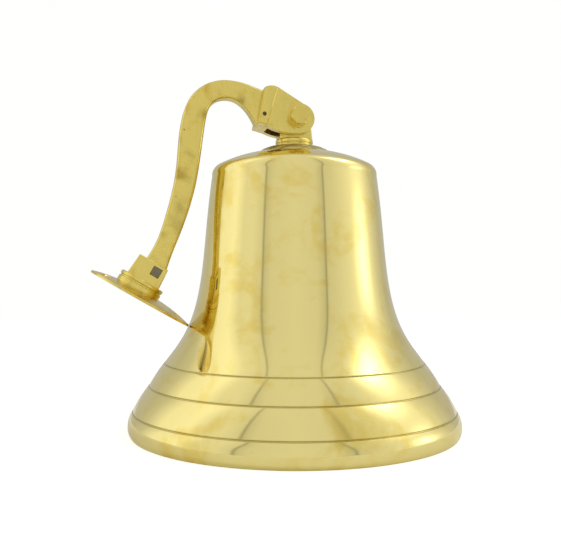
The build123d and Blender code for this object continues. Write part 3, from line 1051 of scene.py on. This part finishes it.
@dataclass
class Studio:
    """A pale floor, a light tent and the camera. Lengths are metres, angles degrees.

    Attributes:
        turn: how far the camera stands round from the bracket's side view.
        camera_back, camera_left, camera_height: where the camera stands.
        sensor_width, lens: the camera's own sizes.
        tent: the tent's radius.
        ceiling: the brightness overhead.
        horizon: (azimuth, brightness) stops; azimuth 0 is behind the camera and 90 to its right.
        seams: azimuths of the dark joints between the tent's panels.
        seam_width, seam_depth: the width of a joint and the share of the light that it takes.
        lamps: (azimuth, elevation, width, height, brightness) of each lamp.
        floor_glow: the floor's own light towards the camera.
    """

    turn: float = 12.5
    camera_back: float = 0.557
    camera_left: float = 0.0107
    camera_height: float = 0.117
    sensor_width: float = 36.0  # millimetres, as the lens
    lens: float = 45.69
    tent: float = 1.7
    ceiling: float = 0.78
    horizon: tuple = (
        (-180, 0.5), (-132, 0.52), (-119, 0.62), (-103, 1.0), (-80, 1.08), (-67, 0.84), (-53, 0.85),
        (-41, 0.74), (-37, 0.62), (-28, 0.74), (0, 0.78), (26, 0.74), (35, 0.6), (39, 0.68), (50, 0.74),
        (64, 0.84), (82, 1.0), (102, 0.98), (118, 0.68), (132, 0.52), (180, 0.5),
    )
    seams: tuple = (-38.5, 37.0)
    seam_width: float = 1.3
    seam_depth: float = 0.42
    lamps: tuple = ((90, 10, 9, 9, 1.5), (91, 56, 13, 14, 3.2), (-84, 60, 20, 14, 0.2))
    floor_glow: float = 0.5

    def make_camera(self) -> None:
        """A level camera in front of the bell, turned a little to the bracket's side."""
        data = bpy.data.cameras.new("camera")
        data.sensor_width, data.lens = self.sensor_width, self.lens
        camera = bpy.data.objects.new("camera", data)
        turn = math.radians(self.turn)
        away = Matrix.Rotation(-turn, 4, "Z")
        camera.location = away @ Vector((-self.camera_left, -self.camera_back, self.camera_height))
        camera.rotation_euler = (math.pi / 2, 0, -turn)
        bpy.context.scene.collection.objects.link(camera)
        bpy.context.scene.camera = camera

    def make_tent(self) -> None:
        """A closed tent of soft light, unseen by the camera, whose brightness varies with direction.

        Towards azimuth a and elevation e the brightness follows the stops round the horizon, fades
        to the ceiling's own value between 40 and 75 degrees, drops in the narrow seams between the
        tent's panels, and rises in each lamp by its power times exp(-(da/wa)^2 - (de/we)^2).
        """
        azimuth = np.linspace(-180, 180, 480, endpoint=False)[None, :]
        elevation = np.linspace(-12, 90, 70)[:, None]
        stops = np.array(self.horizon).T
        glow = np.interp(azimuth, stops[0], stops[1]) + 0 * elevation
        rise = np.clip((elevation - 40) / 35, 0, 1)
        glow += (self.ceiling - glow) * rise * rise * (3 - 2 * rise)
        for seam in self.seams:
            glow *= 1 - self.seam_depth * np.exp(-(((azimuth - seam) / self.seam_width) ** 2))
        for where, height, wide, high, power in self.lamps:
            apart = (azimuth - where + 180) % 360 - 180
            glow += power * np.exp(-((apart / wide) ** 2) - ((elevation - height) / high) ** 2)
        a, e = np.radians(azimuth - self.turn), np.radians(elevation)
        outwards = [np.sin(a) * np.cos(e), -np.cos(a) * np.cos(e), np.sin(e) + 0 * a]
        grid = self.tent * np.stack(outwards, axis=-1)
        tent = make_mesh("tent", [Surface(grid, masks={"glow": glow})], sharp=180)
        material = bpy.data.materials.new("tent")
        material.use_nodes = True
        g, shader = Graph(material.node_tree), material.node_tree.nodes["Principled BSDF"]
        shader.inputs["Base Color"].default_value = (0, 0, 0, 1)
        shader.inputs["Emission Color"].default_value = (1, 1, 0.985, 1)
        strength = g.add("ShaderNodeAttribute", attribute_name="glow").outputs["Fac"]
        g.tree.links.new(strength, shader.inputs["Emission Strength"])
        tent.data.materials.append(material)
        tent.visible_camera = False

    def make_floor(self) -> None:
        """A pale floor that meets a pale world."""
        mesh = bpy.data.meshes.new("floor")
        rim = (self.tent - 0.01) * np.insert(circle(96), 2, 0, axis=1)
        mesh.from_pydata(rim.tolist(), [], [list(range(len(rim)))])
        floor = bpy.data.objects.new("floor", mesh)
        material = bpy.data.materials.new("floor")
        material.use_nodes = True
        shader = material.node_tree.nodes["Principled BSDF"]
        shader.inputs["Base Color"].default_value = (0.9, 0.9, 0.895, 1)
        shader.inputs["Roughness"].default_value = 0.8
        shader.inputs["Emission Color"].default_value = (1, 1, 1, 1)
        g = Graph(material.node_tree)
        seen = g.add("ShaderNodeLightPath").outputs["Is Camera Ray"]
        g.tree.links.new(g.math("MULTIPLY", seen, self.floor_glow), shader.inputs["Emission Strength"])
        mesh.materials.append(material)
        bpy.context.scene.collection.objects.link(floor)

    def build(self) -> None:
        """Sets the view and the world, and makes the camera, the floor and the tent."""
        scene = bpy.context.scene
        scene.view_settings.view_transform = "Standard"
        world = bpy.data.worlds.new("world")
        world.use_nodes = True
        background = world.node_tree.nodes["Background"]
        background.inputs["Color"].default_value = (1.0, 1.0, 0.99, 1)
        background.inputs["Strength"].default_value = 1.0
        scene.world = world
        self.make_camera()
        self.make_floor()
        self.make_tent()


def main() -> None:
    """Builds the studio, then the bell from its shell out."""
    logging.basicConfig(level=logging.INFO, format="%(message)s")
    for build in (build_tarnish_group, build_casting_group, build_turning_group):
        build()
    Studio().build()
    Bell().build()
    Clapper().build()
    Bracket().build()


if __name__ == "__main__":
    main()
